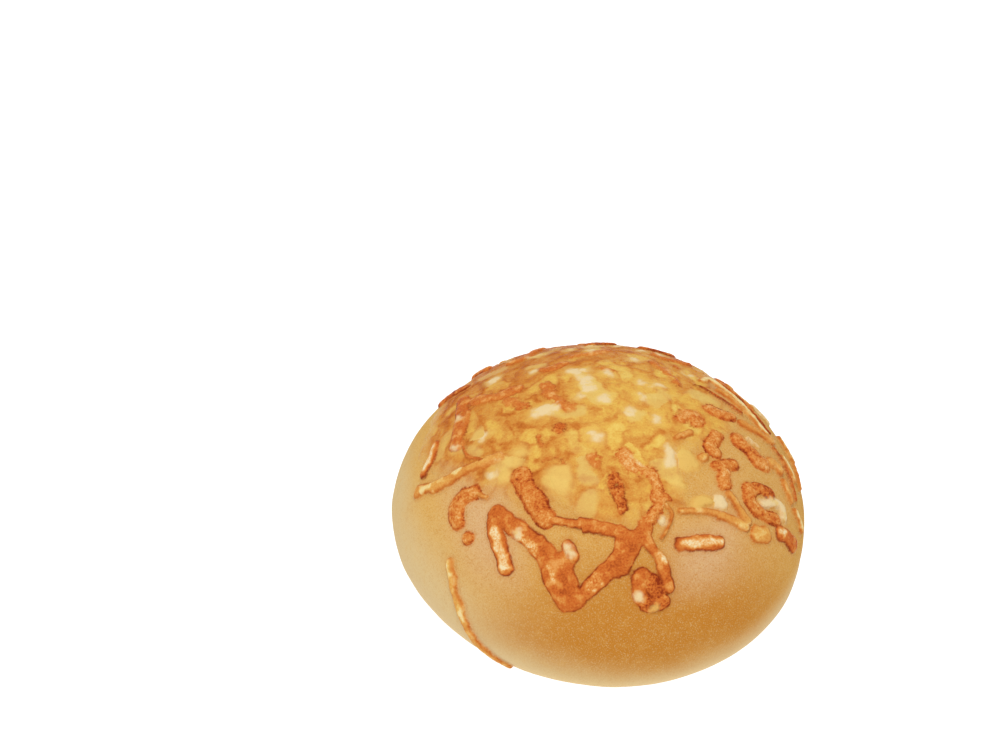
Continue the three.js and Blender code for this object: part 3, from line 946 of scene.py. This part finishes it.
def cheese_look(recipe, place):
    """The crust's own colour, with the film, the shreds and the pale lumps laid over it in turn."""
    uneven = SimpleNamespace(**{
        name: recipe.noise(place, *grain) - 0.5 for name, grain in UNEVENNESS.items()
    })
    kept = SimpleNamespace(**{
        name: recipe.add("ShaderNodeAttribute", output="Fac", attribute_name=name)
        for name in (*KEPT_DEPTHS, *KEPT_TONES)
    })
    _, _, z = recipe.parts(place)
    tone, _ = crust_colour(recipe, place)
    on_film = within(recipe, kept.film, uneven, FILM_BORDER)
    tone = recipe.tinted(on_film, tone, film_colour(recipe, place, kept, uneven))

    melt = recipe.eased(kept.film, *MELT_DEPTH) * recipe.eased(z, *MELT_HEIGHT)
    bake = bakes(recipe, kept.shred_tone)
    in_shred = shred_share(recipe, kept, uneven, melt, bake)
    # Painted shade, partly a real stain: a toasted tint within 2 mm round each shred.
    tone = recipe.tinted(recipe.eased(kept.browned, *STAINED_AND_SHADED), tone, TOASTED_CHEESE)
    tone = recipe.tinted(in_shred, tone, shred_colour(recipe, kept, uneven, melt, bake))

    white = recipe.eased(kept.pale_tone, *WHITE_TONES)
    halo = recipe.eased(kept.pale, *HALO) * on_film * (1 - in_shred)
    tone = recipe.tinted(halo, tone, YELLOW_CHEESE)
    lump_rim = within(recipe, kept.pale, uneven, LUMP_RIM_BORDER) * (1 - on_film) * (1 - in_shred)
    tone = recipe.tinted(lump_rim * LUMP_RIM_SHARE, tone, GOLDEN_CHEESE)
    in_lump = within(recipe, kept.pale, uneven, LUMP_BORDER) * recipe.mixed(white, *LUMP_COVER)
    cream = white * recipe.eased(uneven.patch + uneven.marble * CREAM_MARBLING, *CREAM_PATCHES)
    tone = recipe.tinted(in_lump, tone, recipe.tinted(cream, YELLOW_CHEESE, PALE_CHEESE))
    return {
        "colour": tone,
        "roughness": recipe.eased(uneven.fine, *CHEESE_ROUGHNESS),
        "relief": uneven.fine + uneven.speck * SPECK_RELIEF,
        "depth": CHEESE_RELIEF,
        "shine": CHEESE_SHINE,
    }


cheese_material = finished_material("melted_cheese", cheese_look)


# The sheet of cheese: its cells and reach, its heights, its dive into the crust and the film's edges.
SHEET_SIZES = {
    "Cell": 0.38 * MM,
    "Reach": math.radians(116),
    "Ridge height": 1.05 * MM,
    "Melted height": 0.4 * MM,
    "Film height": 0.25 * MM,
    "Skirt": 0.8 * MM,
    "Skirt lift": 0.05 * MM,
    "Sunk": 0.4 * MM,
    "Ragged": 1.0 * MM,
    "Film edge": math.radians(32),
    "Film tongue": math.radians(6),
    "Film backward": math.radians(54),
    "Film limit": math.radians(63),
    "Film right": math.radians(24),
    "Melt edge": math.radians(52),
    "Melt blend": math.radians(16),
}
LEAST_DROP = 0.0001
CROWN_RADIUS = 47 * MM
LOBE_SIZE = 12 * MM
LOBE_REACH = 0.25
TONGUE_ASIDE = (0.5, 0.1)
TONGUE_FRONT = (0.3, 0.1)
RIGHT_SIDE = (0.45, 0.9)

# How far shreds stray from their paths and swell, on the crust and where they have melted.
STRAYING = ((8 * MM, (1.2, 2.8)), (2.2 * MM, (0.7, 1.0)))
SWELLING = 0.94
SWELLING_SIZE = 5 * MM
SWELLING_SHARES = (0.9, 2.1)

# A ridge is a dome with a flattish top. Ridges melt lower, and pools and lumps lie lower still.
FLATNESS = 3.5
FILM_BEVEL = 3 * MM
FILM_END = (-1 * MM, 4 * MM)
MELTED_LOSS = 0.3
POOL_SHARE = 0.6
LUMP_SHARE = 0.7
SHRED_JOIN = 1.2 * MM
LAYER_BLEND = 0.3 * MM
BUBBLE_SIZE = 1.0 * MM
BUBBLE_HEIGHT = 0.25 * MM
BUBBLED_FROM = (0.1 * MM, 0.5 * MM)

# The layers blend, so a bare place lies a little more than half as deep as each layer sinks alone.
BARE_SHARE = 0.5

# How deep a place lies inside the nearest shred of a kind, with that shred's half width and tone.
Nearest = namedtuple("Nearest", "depth half_width tone")


def cheese_tree():
    """A fine sheet over the crown, raised where shreds and film lie, and cut away where it is bare."""
    tree = bpy.data.node_groups.new("melted_cheese", "GeometryNodeTree")
    recipe = Recipe(tree)
    strewn = recipe.ask("Shreds", kind="NodeSocketGeometry")
    size = {name: recipe.ask(name) for name in SHEET_SIZES}
    position = recipe.add("GeometryNodeInputPosition")

    laid_point, _ = on_crust(recipe, position)
    laid = recipe.add("GeometryNodeSetPosition", {"Geometry": strewn, "Position": laid_point})

    span = size["Reach"] * 2
    cells = span * WAIST_RADIUS / size["Cell"]
    grid = {"Size X": span, "Size Y": span, "Vertices X": cells, "Vertices Y": cells}
    sheet = recipe.add("GeometryNodeMeshGrid", grid)
    across, along, _ = recipe.parts(position)
    drop = recipe.math("MAXIMUM", recipe.math("SQRT", across * across + along * along), LEAST_DROP)
    flare = recipe.math("SINE", drop) / drop
    toward = recipe.joined(across * flare, along * flare, recipe.math("COSINE", drop))
    point, outward = on_crust(recipe, toward)

    backward = along / drop * 0.5 + 0.5
    rightward = across / drop
    sideways = recipe.math("ABSOLUTE", rightward)
    lobes = (recipe.noise(point, LOBE_SIZE) - 0.5) * LOBE_REACH
    tongue = recipe.eased(sideways, *TONGUE_ASIDE) * recipe.eased(backward, *TONGUE_FRONT)
    edge = recipe.math("MINIMUM", size["Film edge"] + size["Film backward"] * backward, size["Film limit"])
    edge = edge + size["Film tongue"] * tongue - size["Film right"] * recipe.eased(rightward, *RIGHT_SIDE)
    film = (edge + lobes - drop) * CROWN_RADIUS
    in_mm = 1 / MM
    high = recipe.eased(drop, size["Melt edge"], size["Melt edge"] - size["Melt blend"])
    melt = recipe.eased(film * in_mm, *MELT_DEPTH) * high

    looked = point
    for straying_size, shares in STRAYING:
        stray = recipe.noise(point, straying_size, output=1)
        stray = recipe.vector("SUBTRACT", stray, (0.5, 0.5, 0.5))
        far = size["Ragged"] * recipe.mixed(melt, *shares)
        looked = recipe.vector("ADD", looked, recipe.scaled(stray, far))
    swelling = recipe.noise(point, SWELLING_SIZE, 1.0) - 0.5
    swelling = swelling * recipe.mixed(melt, *SWELLING_SHARES) + SWELLING

    def named(name):
        return recipe.add("GeometryNodeInputNamedAttribute", {"Name": name}, data_type="FLOAT")

    def nearest(kind):
        chosen = {"Geometry": laid, "Selection": recipe.math("COMPARE", named("kind"), kind, KIND_MARGIN)}
        shreds = recipe.add("GeometryNodeSeparateGeometry", chosen, domain="POINT")
        closest = {"Geometry": shreds, "Sample Position": looked}
        index = recipe.add("GeometryNodeSampleNearest", closest, domain="POINT")

        def there(value, data_type="FLOAT"):
            sampled = {"Geometry": shreds, "Value": value, "Index": index}
            return recipe.add("GeometryNodeSampleIndex", sampled, data_type=data_type, domain="POINT")

        away = recipe.vector("DISTANCE", looked, there(position, "FLOAT_VECTOR"), output="Value")
        half_width = there(named("half_width")) * swelling
        return Nearest(half_width - away, half_width, there(named("tone")))

    def ridge(place, height):
        """A low dome inside the border, a thin skirt just outside it, and then a dive into the crust."""
        inward = recipe.math("MAXIMUM", place.depth / place.half_width, 0)
        outward_share = 1 - recipe.math("MINIMUM", inward, 1)
        dome = (1 - outward_share**FLATNESS) * height
        dive = recipe.math("MINIMUM", place.depth + size["Skirt"], 0)
        dive = recipe.math("MAXIMUM", dive, size["Sunk"] * -1)
        return dome + dive + size["Skirt lift"]

    def on_film(layer):
        """A layer that ends, sunk in the crust, where the film ends."""
        return recipe.mixed(recipe.eased(film, *FILM_END), size["Sunk"] * -1, layer)

    wide, broad, narrow, core, pale, strand, pool, thread = (nearest(kind) for kind in KINDS)
    browned = recipe.math("SMOOTH_MAX", broad.depth, narrow.depth, SHRED_JOIN)
    tone = recipe.mixed(recipe.math("GREATER_THAN", broad.depth, narrow.depth), narrow.tone, broad.tone)
    tone = recipe.mixed(recipe.math("GREATER_THAN", wide.depth, browned), tone, wide.tone)
    browned = recipe.math("SMOOTH_MAX", browned, wide.depth, SHRED_JOIN)

    ridge_height = size["Ridge height"] * (1 - melt * MELTED_LOSS)
    height = ridge(Nearest(film, FILM_BEVEL, None), size["Film height"])
    for layer in (
        on_film(ridge(strand, size["Melted height"])),
        on_film(ridge(pool, size["Melted height"] * POOL_SHARE)),
        on_film(ridge(thread, size["Melted height"])),
        ridge(wide, ridge_height),
        ridge(broad, ridge_height),
        ridge(narrow, ridge_height),
        ridge(pale, ridge_height * LUMP_SHARE),
    ):
        height = recipe.math("SMOOTH_MAX", height, layer, LAYER_BLEND)
    bubbles = (recipe.noise(point, BUBBLE_SIZE) - 0.5) * BUBBLE_HEIGHT
    height = height + bubbles * recipe.eased(height, *BUBBLED_FROM)

    depths = (film, browned, core.depth, pale.depth, strand.depth, pool.depth, thread.depth)
    kept = dict(zip(KEPT_DEPTHS, (depth * in_mm for depth in depths)))
    kept.update(zip(KEPT_TONES, (tone, core.tone, pale.tone, pool.tone)))
    kept["rise"] = height
    for name, value in kept.items():
        noted = {"Geometry": sheet, "Name": name, "Value": value}
        sheet = recipe.add("GeometryNodeStoreNamedAttribute", noted, data_type="FLOAT", domain="POINT")
    lifted = recipe.vector("ADD", point, recipe.scaled(outward, height))
    raised = recipe.add("GeometryNodeSetPosition", {"Geometry": sheet, "Position": lifted})
    bare = recipe.math("LESS_THAN", named("rise"), size["Sunk"] * -BARE_SHARE)
    cut = {"Geometry": raised, "Selection": bare}
    trimmed = recipe.add("GeometryNodeDeleteGeometry", cut, domain="POINT")
    smooth = recipe.add("GeometryNodeSetShadeSmooth", {"Geometry": trimmed})
    whole = recipe.add("GeometryNodeRealizeInstances", {"Geometry": smooth})
    coated = recipe.add("GeometryNodeSetMaterial", {"Geometry": whole, "Material": cheese_material})
    recipe.serve({"Geometry": ("NodeSocketGeometry", coated)})
    return tree


cheese = baked("melted_cheese", cheese_tree(), SHEET_SIZES, start=shred_paths(all_shreds()))
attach(cheese, "root")
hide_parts("cheese_roll")


# Studio: a plain white floor, a broad soft light overhead and the camera at the shown angle.
# The roll stands on the floor by its flat base.
FLOOR_HALF = 3.0
FLOOR_WHITE = {
    "Base Color": (0.2, 0.2, 0.2, 1),
    "Roughness": 0.8,
    "Emission Color": (1, 1, 1, 1),
    "Emission Strength": 1.08,
}
corners = [(x * FLOOR_HALF, y * FLOOR_HALF, 0) for x, y in ((-1, -1), (1, -1), (1, 1), (-1, 1))]
floor_mesh = bpy.data.meshes.new("floor")
floor_mesh.from_pydata(corners, [], [(0, 1, 2, 3)])
floor = bpy.data.objects.new("floor", floor_mesh)
bpy.context.scene.collection.objects.link(floor)
floor_white = bpy.data.materials.new("floor_white")
floor_white.use_nodes = True
for name, value in FLOOR_WHITE.items():
    floor_white.node_tree.nodes["Principled BSDF"].inputs[name].default_value = value
floor_mesh.materials.append(floor_white)

CAMERA_TILT = math.radians(41.4)
CAMERA_LENS = 85.0
SENSOR = 36.0
IMAGE_WIDTH, IMAGE_HEIGHT = 1000, 730
WAIST_PIXEL = (595.6, 516.6)
CAMERA_DISTANCE = 637 * MM
NEAREST_SEEN = 10 * MM
pixels_per_slope = CAMERA_LENS / SENSOR * IMAGE_WIDTH
ahead = Vector((0, math.cos(CAMERA_TILT), -math.sin(CAMERA_TILT)))
across = Vector((1, 0, 0))
upward = across.cross(ahead)
aim = (ahead + across * ((WAIST_PIXEL[0] - IMAGE_WIDTH / 2) / pixels_per_slope)
       - upward * ((WAIST_PIXEL[1] - IMAGE_HEIGHT / 2) / pixels_per_slope))
camera = bpy.data.objects.new("camera", bpy.data.cameras.new("camera"))
camera.data.lens = CAMERA_LENS
camera.data.sensor_width = SENSOR
camera.data.clip_start = NEAREST_SEEN
camera.location = Vector((0, 0, WAIST_HEIGHT)) - aim * CAMERA_DISTANCE
camera.rotation_euler = (math.pi / 2 - CAMERA_TILT, 0, 0)
bpy.context.scene.collection.objects.link(camera)
bpy.context.scene.camera = camera

SKY_WHITE = (1, 1, 1, 1)
SKY_STRENGTH = 0.53
world = bpy.data.worlds.new("studio")
world.use_nodes = True
world.node_tree.nodes["Background"].inputs["Color"].default_value = SKY_WHITE
world.node_tree.nodes["Background"].inputs["Strength"].default_value = SKY_STRENGTH
bpy.context.scene.world = world
bpy.context.scene.view_settings.view_transform = "Standard"

KEY_POWER = 4.4
KEY_SIZE = 0.4
KEY_PLACE = Vector((-0.06, -0.18, 0.88))
KEY_AIM = Vector((0, 0, 0.03))
key = bpy.data.objects.new("key_light", bpy.data.lights.new("key_light", "AREA"))
key.data.energy = KEY_POWER
key.data.size = KEY_SIZE
key.location = KEY_PLACE
key.rotation_euler = (KEY_AIM - KEY_PLACE).to_track_quat("-Z", "Y").to_euler()
bpy.context.scene.collection.objects.link(key)
